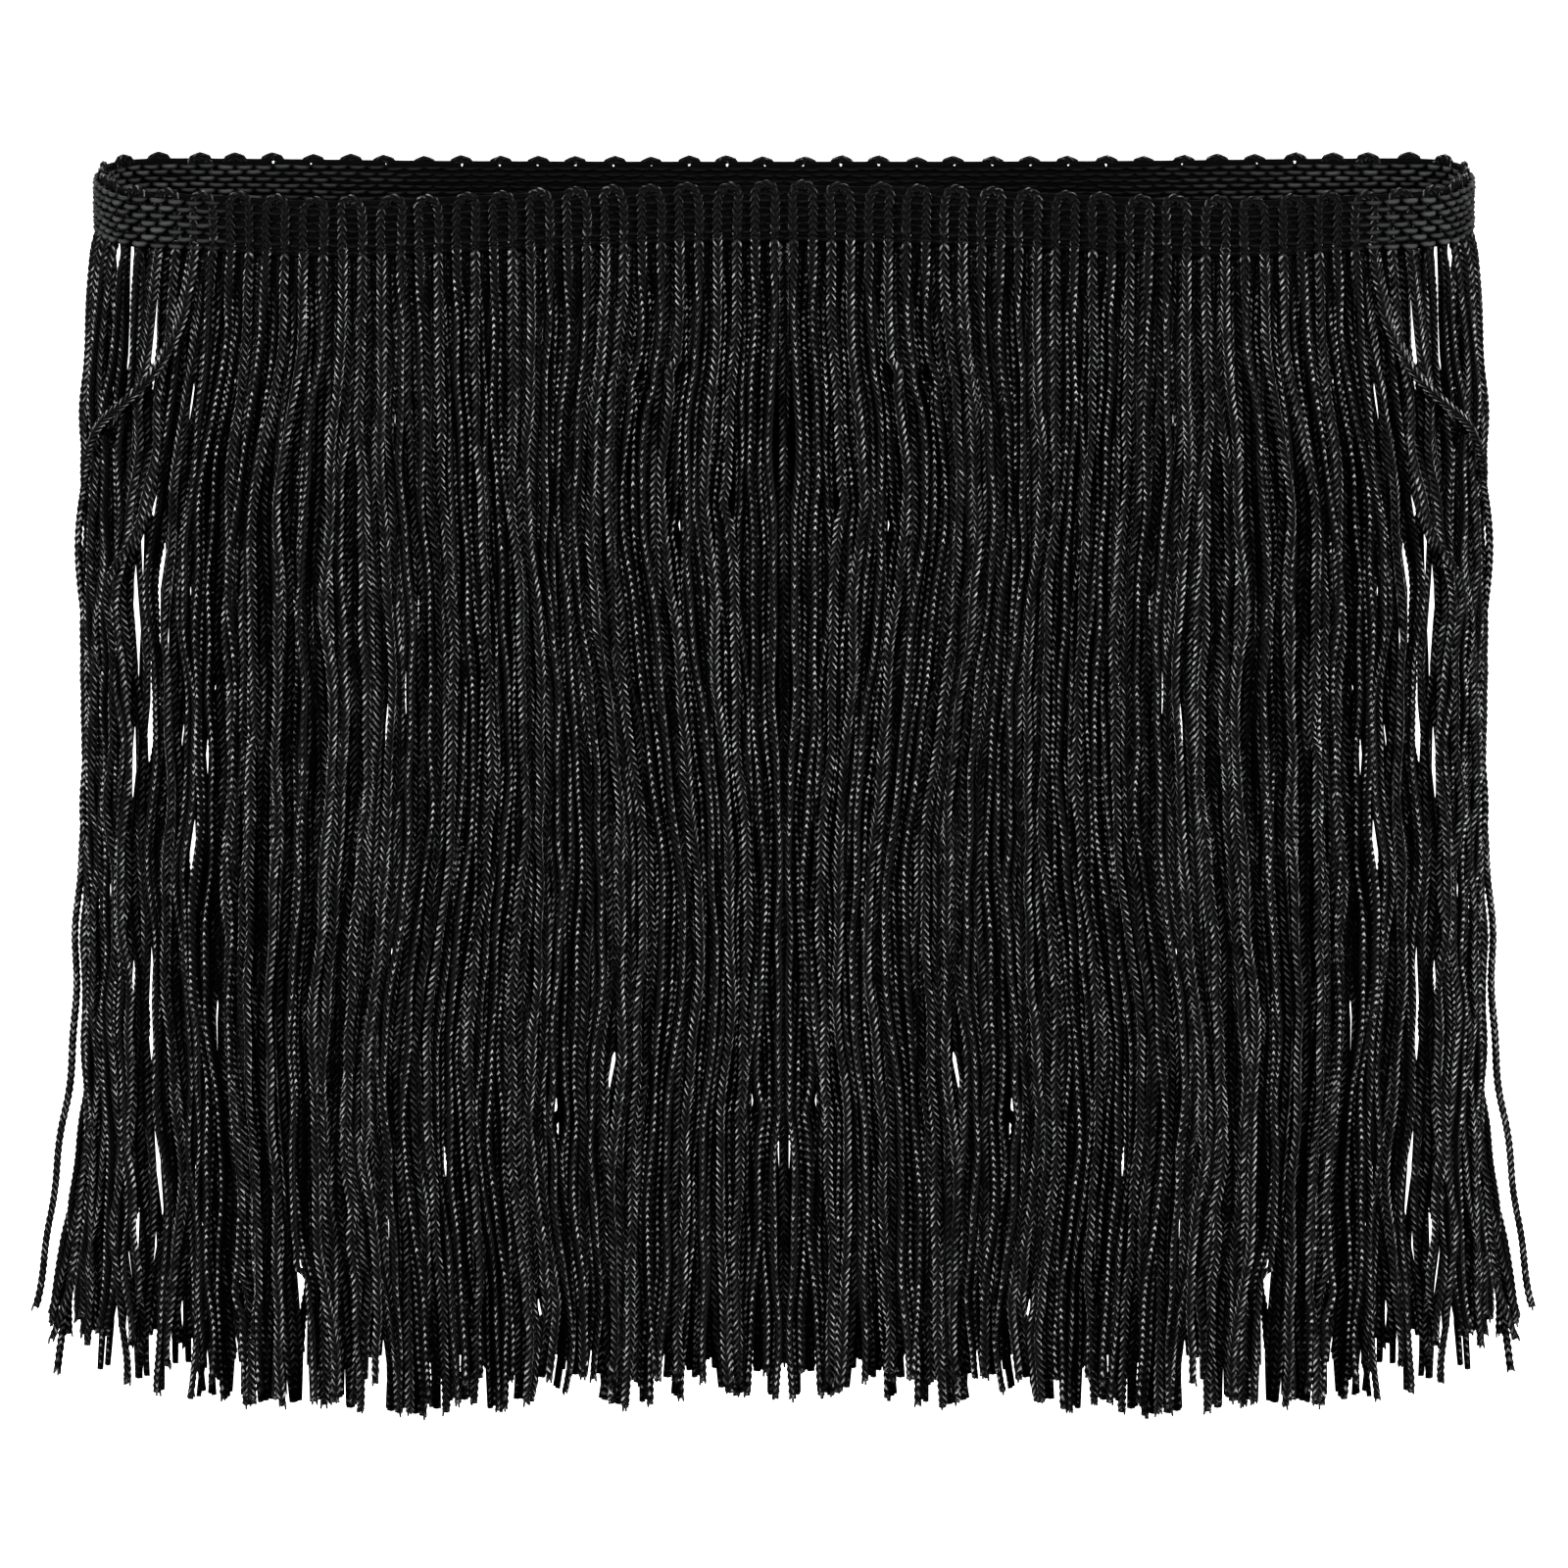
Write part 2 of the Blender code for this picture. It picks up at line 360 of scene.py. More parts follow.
    def wrap(self, along: Array, out: Array, level: Array) -> Array:
        """Flat trim in millimetres to the standing ring in metres.

        Args:
            along: Distance along the trim.
            out: Distance from the middle layer, outwards.
            level: Height below the top edge, negative.

        Returns:
            Points in the row frame. The fringe widens to the sides just below the heading and once
            more at its cut edge, as a power of how far to the side a point already is.
        """
        along, out, level = np.broadcast_arrays(along, out, level)
        place = self.on_plan(along) + self.outward(along)[..., :2] * out[..., None]
        drop = np.maximum(0.0, -level - self.heading_height)
        full_drop = -self.tip_level - self.heading_height
        spread = self.widening * (1 - np.exp(-drop / self.widening_depth))
        spread = spread + self.flare * (drop / full_drop) ** self.flare_power
        sideways = place[..., 0] / np.max(self.points[:, 0])
        x = place[..., 0] + spread * sideways * np.abs(sideways) ** self.flare_narrowing
        return np.stack([x, place[..., 1], level], axis=-1) * MILLIMETRE

    def side_and_twin(self, column: Array) -> tuple[Array, Array]:
        """Which half of the ring a column is on, 1 or -1, and its column on the right half."""
        column = column % self.columns
        left = column > self.columns // 2
        side = np.where(left, -1, np.where(column % (self.columns // 2) == 0, 0, 1))
        return side, np.where(left, self.columns - column, column)

    def from_end(self, column: Array) -> Array:
        """Distance along the trim from a column to the nearer end of the ring."""
        return np.abs(self.side_and_twin(column)[1] * self.pitch - self.end_along)

    def present(self, columns: range, row: Row) -> Array:
        """The columns of a stretch that have a strand in a row.

        The inner row is sparser round the ends of the ring, and the hidden rows nearly stop there.
        """
        column = np.array(columns)
        _, twin = self.side_and_twin(column)
        from_end = self.from_end(column)
        if row is Row.OUTER:
            return column[column % 2 == 1]
        if row is Row.INNER:
            thinned = (from_end < self.sparse_reach) & (twin % 4 == 2)
            return column[(column % 2 == 0) & ~thinned]
        chance = self.looks[twin, Look.FILLER if row is Row.FILLER else Look.BACKING]
        return column[chance < np.interp(from_end, *np.array(HIDDEN_SHARE).T)]

    def tips(self, column: Array) -> Array:
        """Level at which each strand was cut."""
        _, twin = self.side_and_twin(column)
        level = self.tip_level + np.interp(twin * self.pitch, *np.array(TIP_RISE).T)
        level = level + self.tip_ragged * self.cuts[twin] ** self.tip_power
        for lone, _, _, rise in LONERS:
            level = level + rise * (twin == lone)
        return level

    def strands(self, column: Array, level: Array, row: Row) -> tuple[Array, Array]:
        """Where strands' middles are.

        Args:
            column: Column of each strand, one a row.
            level: Levels of each strand's points, a row for each strand.
            row: The row that they hang in.

        Returns:
            Distances along the trim and out of its middle layer: the column's place, plus strays
            and loners, a sine for each strand's own sway, a sum of Gaussian bends shared with its
            neighbours, a slow swing of the rows in and out, a slant, a lean and curled tips.
        """
        column = column[:, None]
        side, twin = self.side_and_twin(column)
        looks = self.looks[twin]
        further, root_out, hung_out, settled_out = ROWS[row]
        place = (twin + further) * self.pitch + 0.0 * level
        foot = self.heading_height
        settled = ease(-level, foot, foot + self.settle_depth)
        left = ease(-level, *(foot + depth for depth in self.leave))
        out = root_out + (hung_out - root_out) * left + (settled_out - hung_out) * settled
        for stray, lifts_from, crosses_from, crosses_to, lift, amount in STRAYS:
            mine = twin == stray
            end = -crosses_to
            rejoined = ease(-level, end - self.rejoin_reach, end + self.rejoin_reach)
            lifted = lift * ease(-level, -lifts_from, -crosses_from)
            out = out + mine * lifted * (1 - self.rejoin_share * rejoined)
            place = place + mine * amount * ease(-level, -crosses_from, -crosses_to)
        for loner, leaves_at, reach, _ in LONERS:
            share = np.clip((leaves_at - level) / (leaves_at - self.tips(column)), 0.0, 1.0)
            out = out + (twin == loner) * reach * share**self.loner_power
        from_end = np.abs(place - self.end_along)
        hang = ease(-level, foot, foot + self.hang_depth)
        quick = self.hidden_quick_share if row.hidden else self.quick_share
        swing = np.sin((self.end_along - place) / self.billow_along - level / self.billow_down)
        wander = self.wander_out * self.own_wander(looks, level, Look.WANDER_OUT, quick)
        out = out + hang * (self.billow * swing + wander)
        shift = self.sway * np.sin(TAU * (level / self.sway_length + self.sway_starts[twin]))
        for along, bend_level, reach_along, reach_down, amount in BENDS:
            across = np.exp(-(((place - along) / reach_along) ** 2))
            shift = shift + amount * across * np.exp(-(((level - bend_level) / reach_down) ** 2))
        loose = self.hidden_wander / self.wander if row.hidden else 1.0
        loose = loose * (1 + self.looseness * (1 - ease(from_end, *self.loose_reach)))
        own_level = level + self.backing_start * (row is Row.BACKING)
        shift = shift + loose * self.own_wander(looks, own_level, Look.WANDER_ALONG, quick)
        slant = self.slant * (2 * looks[..., Look.SLANT] - 1) * (row is Row.BACKING)
        shift = shift - slant * level / self.slant_length * (1 - ease(from_end, *self.slant_reach))
        near_end = ease(from_end, *self.lean_from) * (1 - ease(from_end, *self.lean_to))
        own_lean = self.hidden_lean if row.hidden else looks[..., Look.LEAN]
        lean = self.lean * own_lean * near_end * ease(-level, foot, self.lean_depth)
        shift = shift + np.sign(self.end_along - place) * lean
        near_tip = ease(-level, -self.tips(column) - self.curl_length, -self.tips(column))
        shift = shift + self.curl * (looks[..., Look.CURL_ALONG] - 0.5) * near_tip
        splays = ~np.isin(twin, [loner for loner, *_ in LONERS]) & (not row.hidden)
        splay = self.splay * looks[..., Look.SPLAY] * (1 - ease(from_end, *self.splay_reach))
        out = out + (self.curl * (looks[..., Look.CURL_OUT] - 0.5) + splay * splays) * near_tip
        along = column * self.pitch + side * (place - twin * self.pitch + hang * shift)
        return self.parted(along, out, level, row), out

    def parted(self, along: Array, out: Array, level: Array, row: Row) -> Array:
        """Places along the trim, pushed aside at each parting.

        A distance d from a parting's middle becomes the root of d squared plus the parting's own
        half width squared, which falls off above and below as a Gaussian, in the front view.

        Args:
            along: Distances along the trim.
            out: Distances out of its middle layer.
            level: Heights.
            row: The row; in the hidden ones a parting reaches further down.

        Returns:
            The new distances along the trim.
        """
        tilt = math.radians(VIEW_ELEVATION)
        offset = self.wrap(along, out, level) - VIEW_TARGET
        depth = VIEW_DISTANCE + offset[..., 1] * math.cos(tilt) - offset[..., 2] * math.sin(tilt)
        scale = VIEW_DISTANCE / depth / MILLIMETRE
        across = offset[..., 0] * scale
        up = (offset[..., 1] * math.sin(tilt) + offset[..., 2] * math.cos(tilt)) * scale
        aside = -np.sign(across) * np.sign(self.outward(along)[..., 1])
        for middle, height, half_height, half_gap in PARTINGS:
            widest = self.cover + half_gap
            reach = half_height / math.sqrt(math.log(widest / self.cover))
            reach = max(reach, self.hidden_parting) if row.hidden else reach
            width = widest * np.exp(-(((up - height) / reach) ** 2))
            offset = np.abs(across) - middle
            grown = np.sqrt((offset**2 + width**2) / (offset**2 + self.parting_core))
            grown = 1 + (grown - 1) * (1 - ease(np.abs(offset), *self.parting_fade))
            along = along + aside * offset * (grown - 1)
        return along

    def own_wander(self, looks: Array, level: Array, first: int, share: float) -> Array:
        """Uneven wander of one strand: a slow and a quick sine of its own lengths and starts.

        Args:
            looks: The strands' random numbers.
            level: Heights.
            first: The first of the three random numbers that it uses.
            share: Size of the quick sine against the slow one.

        Returns:
            Shifts.
        """
        start, length, second = (looks[..., first + step] for step in range(3))
        slow_length = self.slow_wander[0] + self.slow_wander[1] * length
        quick_length = self.quick_wander[0] + self.quick_wander[1] * second
        slow = np.sin(TAU * (level / slow_length + start))
        quick = np.sin(TAU * (level / quick_length + start + length))
        return self.wander * (slow + share * quick)


@dataclass(frozen=True)
class Sweep:
    """Closed tubes, all with the same number of rings and sides, as arrays.

    Attributes:
        rings: Points, with axes tube, ring, side and coordinate.
        stitches: Stitch count at each ring, for the mesh's own map.
        tone: A number from 0 to 1 for each tube.
    """

    rings: Array
    stitches: Array
    tone: Array

    def mesh(self, name: str) -> bpy.types.Mesh:
        """Mesh of all the tubes: quads between rings and one face over each end.

        The map's U runs round a tube, 0 in the middle of its face, and its V counts stitches. Each
        tube's tone goes into a point attribute.
        """
        tubes, rings, sides, _ = self.rings.shape
        index = np.arange(tubes * rings * sides).reshape(tubes, rings, sides)
        around = np.roll(index, -1, axis=2)
        walls = np.stack([index[:, :-1], around[:, :-1], around[:, 1:], index[:, 1:]], axis=-1)
        caps = np.stack([index[:, 0, ::-1], index[:, -1]], axis=1)
        corners = np.concatenate([walls.ravel(), caps.ravel()]).astype(np.int32)
        sizes = np.concatenate([np.full(walls[..., 0].size, 4), np.full(2 * tubes, sides)])
        turn = np.arange(sides) / sides
        turn_next = turn + 1.0 / sides
        stitch = np.broadcast_to(self.stitches[:, :, None], (tubes, rings, sides))
        wall_u = np.stack([turn, turn_next, turn_next, turn], axis=-1)
        wall_u = np.broadcast_to(wall_u, (tubes, rings - 1, sides, 4))
        wall_v = np.stack([stitch[:, :-1], stitch[:, :-1], stitch[:, 1:], stitch[:, 1:]], axis=-1)
        cap_u = np.broadcast_to(np.stack([turn[::-1], turn]), (tubes, 2, sides))
        cap_v = np.broadcast_to(stitch[:, [0, -1]], (tubes, 2, sides))
        wall_map = np.stack([wall_u, wall_v], axis=-1).reshape(-1, 2)
        cap_map = np.stack([cap_u, cap_v], axis=-1).reshape(-1, 2)
        mesh = filled_mesh(name, self.rings.reshape(-1, 3), corners, sizes)
        stitch_map = mesh.uv_layers.new(name="stitches")
        corner_map = np.concatenate([wall_map, cap_map]).astype(np.float32)
        stitch_map.uv.foreach_set("vector", corner_map.ravel())
        tone = mesh.attributes.new("tone", "FLOAT", "POINT")
        tone.data.foreach_set("value", np.repeat(self.tone, rings * sides).astype(np.float32))
        return mesh


def filled_mesh(name: str, points: Array, corners: Array, sizes: Array) -> bpy.types.Mesh:
    """Smooth-shaded mesh from whole arrays.

    Args:
        name: Name of the mesh.
        points: Its vertices.
        corners: The vertices of each face's corners, one face after another.
        sizes: How many corners each face has.

    Returns:
        The mesh.
    """
    mesh = bpy.data.meshes.new(name)
    mesh.vertices.add(len(points))
    mesh.vertices.foreach_set("co", points.astype(np.float32).ravel())
    mesh.loops.add(len(corners))
    mesh.loops.foreach_set("vertex_index", corners)
    mesh.polygons.add(len(sizes))
    starts = np.concatenate([[0], np.cumsum(sizes)[:-1]]).astype(np.int32)
    mesh.polygons.foreach_set("loop_start", starts)
    mesh.polygons.foreach_set("use_smooth", np.ones(len(sizes), bool))
    mesh.update(calc_edges=True)
    mesh.validate()
    return mesh


@dataclass(frozen=True)
class Chain:
    """A flattened knitted chain, swept along paths.

    A stitch is a ridge and a groove, and its two arms climb from the middle of each face to the
    edges, which draws the row of Vs.
    """

    half_width: float = 0.8
    half_depth: float = 0.72
    stitch: float = 1.2
    sides: int = 4
    rings_a_stitch: int = 2
    groove: float = 0.74
    notch: float = 0.0
    climb: float = 1.2
    climb_from: float = 1.5
    drawn_stitches: float = 1.0
    end_size: float = 0.86

    def ring_count(self, length: float) -> int:
        """Rings on a chain of a given length in millimetres, with a ridge at both ends."""
        return round(length / self.stitch) * self.rings_a_stitch + 1

    def sweep(self, path: Array, face: Array, turn: Array, direction: Array, tone: Array) -> Sweep:
        """Chains along paths.

        A ring's point is the path's point, plus the half depth times the cosine of its angle
        towards the face, plus the half width times the sine to the side, both times the ring's
        size. It is taken further along the path by the climb, which is a triangle wave of the
        angle.

        Args:
            path: Points of each chain in metres, evenly spaced.
            face: Unit vectors near the way each chain faces.
            turn: How far each ring is turned from its face, in radians.
            direction: 1 or -1 for each chain: the way its Vs point.
            tone: A number from 0 to 1 for each chain.

        Returns:
            The swept chains.
        """
        ahead = unit(np.gradient(path, axis=1))
        across = unit(np.cross(ahead, face))
        front, across = turned(np.cross(across, ahead), across, turn)
        rings = path.shape[1]
        count = np.arange(rings) / self.rings_a_stitch
        ridge = (1 + np.cos(TAU * count)) / 2
        size = self.groove + (1 - self.groove) * ridge
        from_end = np.minimum(count, count[-1] - count)
        size = size * (self.end_size + (1 - self.end_size) * ease(from_end, 0.0, 0.5))
        share = np.arange(self.sides) / self.sides
        angle = TAU * share
        depth = self.half_depth * np.cos(angle) * (1 - self.notch * np.cos(angle) ** 8)
        width = self.half_width * np.sin(angle)
        climb = self.climb / self.stitch * (1 - np.abs(1 - (4 * share) % 2))
        climb = climb * ease(from_end, 0.0, self.climb_from)[:, None] * self.rings_a_stitch
        at = np.arange(rings)[:, None] + climb * direction[:, None, None]
        near = np.clip(np.floor(at).astype(int), 0, rings - 2)
        rest = (at - near)[..., None]
        tube = np.arange(len(path))[:, None, None]
        middle, facing, sideways = (
            rail[tube, near] * (1 - rest) + rail[tube, near + 1] * rest
            for rail in (path, front, across)
        )
        to_face, to_side = ((size[:, None] * half)[None, ..., None] for half in (depth, width))
        points = middle + MILLIMETRE * (facing * to_face + sideways * to_side)
        return Sweep(points, np.broadcast_to(count * self.drawn_stitches, path.shape[:2]), tone)


@dataclass(frozen=True)
class Yarn:
    """A plain round yarn, swept along short paths."""

    half_width: float = 0.34
    half_depth: float = 0.26
    sides: int = 4
    end_size: float = 0.55

    def sweep(
        self, path: Array, face: Array, tone: Array, stoutness: Array | float = 1.0
    ) -> Sweep:
        """Yarns along paths, thinner at both ends: an ellipse carried along each path.

        Args:
            path: Points of each yarn in metres.
            face: Unit vectors near the way each yarn faces.
            tone: A number from 0 to 1 for each yarn.
            stoutness: How much thicker than the plain yarn each one is.

        Returns:
            The swept yarns.
        """
        ahead = unit(np.gradient(path, axis=1))
        across = unit(np.cross(ahead, face))
        front = np.cross(across, ahead)
        share = np.linspace(-1.0, 1.0, path.shape[1])
        size = MILLIMETRE * (1 - (1 - self.end_size) * share**2)
        size = size * np.broadcast_to(stoutness, len(path))[:, None]
        angle = TAU * np.arange(self.sides) / self.sides
        points = path[:, :, None] + size[..., None, None] * (
            front[:, :, None] * (self.half_depth * np.cos(angle))[:, None]
            + across[:, :, None] * (self.half_width * np.sin(angle))[:, None]
        )
        return Sweep(points, np.broadcast_to(share / 2 + 0.5, path.shape[:2]), tone)


def operator(name: str, reflected: bool = False) -> Callable[..., "Signal"]:
    """Method that adds a Math node of a named operation.

    Args:
        name: The operation.
        reflected: Whether the signal is the second operand.

    Returns:
        The method, for Signal.
    """

    def method(this: "Signal", other: "Signal | float") -> "Signal":
        """The Math node's output."""
        return this.graph.math(name, *((other, this) if reflected else (this, other)))

    return method


class Signal:
    """One output socket of a shader graph. Arithmetic on it adds Math nodes."""

    def __init__(self, graph: "Graph", socket: bpy.types.NodeSocket) -> None:
        """Keeps the socket and the graph that it is in."""
        self.graph = graph
        self.socket = socket

    __add__ = __radd__ = operator("ADD")
    __mul__ = __rmul__ = operator("MULTIPLY")
    __sub__, __rsub__ = operator("SUBTRACT"), operator("SUBTRACT", True)
    __truediv__, __rtruediv__ = operator("DIVIDE"), operator("DIVIDE", True)


class Graph:
    """Node tree of one material, with its Principled shader."""

    def __init__(self, name: str) -> None:
        """Starts a material with an empty tree but for its shader and output."""
        self.material = bpy.data.materials.new(name)
        self.material.use_nodes = True
        self.tree = self.material.node_tree
        self.shader = self.tree.nodes["Principled BSDF"]

    def node(
        self,
        kind: str,
        settings: dict[str, Any] | None = None,
        values: dict[str | int, Any] | None = None,
        output: str | int = 0,
    ) -> Signal:
        """One node of any type.

        Args:
            kind: The node's type.
            settings: Its own settings, which are set first.
            values: Numbers, vectors, colours or signals for its inputs.
            output: The output to hand back.

        Returns:
            The output as a signal.
        """
        made = self.tree.nodes.new(kind)
        for key, value in (settings or {}).items():
            setattr(made, key, value)
        for key, value in (values or {}).items():
            self.feed(made.inputs[key], value)
        return Signal(self, made.outputs[output])

    def feed(self, socket: bpy.types.NodeSocket, value: Any) -> None:
        """Links a signal to an input socket, or sets a plain value on it."""
        if isinstance(value, Signal):
            self.tree.links.new(value.socket, socket)
        else:
            socket.default_value = value

    def math(self, operation: str, *values: "Signal | float") -> Signal:
        """One Math node."""
        return self.node("ShaderNodeMath", {"operation": operation}, dict(enumerate(values)))

    def mix(self, share: Signal, low: Any, high: Any) -> Signal:
        """Colour between two colours or colour signals."""
        low, high = ((*c, 1.0) if isinstance(c, tuple) else c for c in (low, high))
        return self.node("ShaderNodeMix", {"data_type": "RGBA"}, {0: share, 6: low, 7: high}, 2)

    def between(self, value: Signal, low: float, high: float) -> Signal:
        """0 below low, 1 above high, smooth between."""
        settings = {"interpolation_type": "SMOOTHSTEP"}
        values = {"Value": value, "From Min": low, "From Max": high}
        return self.node("ShaderNodeMapRange", settings, values)

    def vector(self, x: Any = 0.0, y: Any = 0.0, z: Any = 0.0) -> Signal:
        """Vector from three numbers or signals."""
        return self.node("ShaderNodeCombineXYZ", None, {0: x, 1: y, 2: z})

    def component(self, vector: Signal, index: int) -> Signal:
        """One component of a vector."""
        return self.node("ShaderNodeSeparateXYZ", None, {0: vector}, index)

    def noise(self, place: Signal, scale: float, detail: float = 2.0) -> Signal:
        """Smooth noise about 0.5."""
        values = {"Vector": place, "Scale": scale, "Detail": detail}
        return self.node("ShaderNodeTexNoise", None, values)

    def place(self) -> Signal:
        """Object coordinates, in metres."""
        return self.node("ShaderNodeTexCoord", None, None, "Object")

    def stitch_map(self) -> tuple[Signal, Signal]:
        """U round the tube and V in stitches along it."""
        both = self.node("ShaderNodeUVMap", {"uv_map": "stitches"})
        return self.component(both, 0), self.component(both, 1)

    def tone(self) -> Signal:
        """Each tube's own number."""
        return self.node("ShaderNodeAttribute", {"attribute_name": "tone"}, None, "Fac")

    def bump(self, height: Signal, distance: float, **under: Signal) -> Signal:
        """Bump of a height from 0 to 1 that stands so many metres, over a Normal if given."""
        values = {"Height": height, "Distance": distance, "Strength": 1.0, **under}
        return self.node("ShaderNodeBump", None, values)

    def dress(self, inputs: dict[str, Any]) -> bpy.types.Material:
        """The material, once the shader's inputs are fed."""
        for name, value in inputs.items():
            self.feed(self.shader.inputs[name], value)
        return self.material


@dataclass(frozen=True)
class Finish:
    """Black yarn, with painted shade in its depths and a little sheen."""

    name: str
    # Painted shade: the colour of the yarn's grooves and depths, where shade falls
    deep: Colour = (0.0004, 0.0004, 0.0004)
    yarn: Colour = (0.0014, 0.0014, 0.0014)
    roughness: float = 0.4
    specular: float = 0.07
    filament_relief: float = 0.00003

    def dressed(self, graph: Graph, colour: Any, rough: Any, normal: Signal) -> bpy.types.Material:
        """The graph's material, once its shader is fed."""
        inputs = {"Base Color": colour, "Roughness": rough, "Normal": normal}
        return graph.dress(inputs | {"Specular IOR Level": self.specular})


@dataclass(frozen=True)
class ChainetteFinish(Finish):
    """Black viscose chainette: stitches with a painted highlight, painted shade in the seams."""

    # The next colour is a painted highlight: it stands in for the lamps' glint on each stitch
    painted_highlight: Colour = (0.3350, 0.3425, 0.3425)
    groove_roughness: float = 0.9
    relief: float = 0.0003
    patch_scale: float = 480.0
    fleck_scale: float = 1500.0
    broken: float = 0.5

    def material(self) -> bpy.types.Material:
        """The finish as a material.

        A stitch's height is a smooth step of the cosine of V, sunk in the middle of each face, and
        its grooves and seams get painted shade in the colour. A painted highlight, an ellipse in
        the middle of the arm, shorter and leaning on the tubes that hang edge-on, stands in for
        the yarn's glint. It comes in patches, broken by flecks. The filaments are noise drawn out
        along the arms.
        """
        graph = Graph(self.name)
        turn, stitch = graph.stitch_map()
        tone = graph.tone()
        crest = graph.math("ABSOLUTE", graph.math("COSINE", stitch * math.pi))
        seam = graph.math("ABSOLUTE", graph.math("SINE", turn * TAU))
        arm = graph.between(crest, 0.05, 0.9) * (0.2 + 0.8 * graph.between(seam, 0.0, 0.4))
        filament = graph.noise(graph.vector(turn * 3.0, stitch * 16.0, tone * 40.0), 1.0, 1.0)
        patch = graph.between(graph.noise(graph.place(), self.patch_scale, 1.0), 0.38, 0.64)
        fleck = graph.between(graph.noise(graph.place(), self.fleck_scale, 1.0), 0.42, 0.60)
        # The painted highlight's shape: an ellipse on each arm, then patches and flecks of it
        edge_on = graph.between(tone, 0.49, 0.51)
        aside = graph.math("COSINE", turn * TAU)
        ahead = graph.math("SINE", stitch * math.pi + 0.7 * aside * edge_on)
        radius = 2.3 * ahead * ahead + (0.9 + 1.5 * edge_on) * aside * aside
        oval = 1.0 - graph.between(radius, 0.15, 1.0)
        lit = oval * (0.1 + 0.9 * patch) * (1.0 - self.broken + 2.0 * self.broken * fleck)
        # Colour: painted shade in the grooves and seams, the yarn on the arms, the painted
        # highlight over them
        colour = graph.mix(lit, graph.mix(arm, self.deep, self.yarn), self.painted_highlight)
        smoother = self.roughness - self.groove_roughness
        rough = self.groove_roughness + smoother * arm + 0.12 * filament
        normal = graph.bump(filament, self.filament_relief, Normal=graph.bump(arm, self.relief))
        return self.dressed(graph, colour, rough, normal)


@dataclass(frozen=True)
class BindingFinish(Finish):
    """Black sewing yarn that ties the loops into the heading."""

    deep: Colour = (0.0005, 0.0005, 0.0006)
    yarn: Colour = (0.0018, 0.0018, 0.0019)
    roughness: float = 0.45
    specular: float = 0.06
    painted_highlight: Colour = (0.0410, 0.0419, 0.0421)

    def material(self) -> bpy.types.Material:
        """The finish as a material: filaments along the yarn, with painted shade where it dives
        into the band and a painted highlight on its middle, as strong as the yarn's tone.
        """
        graph = Graph(self.name)
        turn, share = graph.stitch_map()
        tone = graph.tone()
        crest = graph.math("SINE", share * math.pi)
        filament = graph.noise(graph.vector(turn * 14.0, share * 2.5, tone * 90.0), 1.0, 1.0)
        # Painted highlight on the yarn's middle, as strong as its tone, and painted shade at both
        # ends where it dives into the band
        top = graph.mix(tone, self.yarn, self.painted_highlight)
        colour = graph.mix(graph.between(crest, 0.25, 0.95), self.deep, top)
        rough = self.roughness + 0.3 * (1.0 - tone) + 0.14 * filament
        return self.dressed(graph, colour, rough, graph.bump(filament, self.filament_relief))


@dataclass(frozen=True)
class GroundFinish(Finish):
    """Black ground of the heading, between the loops: dull, with ribs along and across."""

    deep: Colour = (0.0004, 0.0004, 0.0005)
    yarn: Colour = (0.0012, 0.0012, 0.0013)
    roughness: float = 0.8
    specular: float = 0.02
    row: float = 0.00086
    relief: float = 0.00012

    def material(self) -> bpy.types.Material:
        """The finish as a material: rows of yarn as a cosine of the height, broken by noise, with
        painted shade between the rows.
        """
        graph = Graph(self.name)
        place = graph.place()
        height = graph.component(place, 2)
        broken = graph.noise(place, 420.0, 2.0)
        rows = graph.math("COSINE", (height / self.row + broken) * TAU) * 0.5 + 0.5
        # Painted shade in the furrows between the rows
        colour = graph.mix(rows, self.deep, self.yarn)
        return self.dressed(graph, colour, self.roughness, graph.bump(rows, self.relief))


def placed(name: str, data: bpy.types.ID) -> bpy.types.Object:
    """Object of a mesh, light or camera, linked to the scene."""
    made = bpy.data.objects.new(name, data)
    bpy.context.scene.collection.objects.link(made)
    return made


def piece_from(
    mesh: bpy.types.Mesh, finish: bpy.types.Material, slot: str, *nodes: str
) -> bpy.types.Object:
    """Object for a finished mesh, riding on the part and standing for its nodes.

    Args:
        mesh: The mesh, in place, in metres.
        finish: Its material.
        slot: The record's material slot; not used.
        nodes: CAD nodes that it stands for.

    Returns:
        The object.
    """
    mesh.materials.append(finish)
    made = placed(mesh.name, mesh)
    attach(made, "root")
    if nodes:
        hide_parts(*nodes)
    triangles = sum(len(face.vertices) - 2 for face in mesh.polygons)
    logging.info("%s: %d triangles", made.name, triangles)
    return made


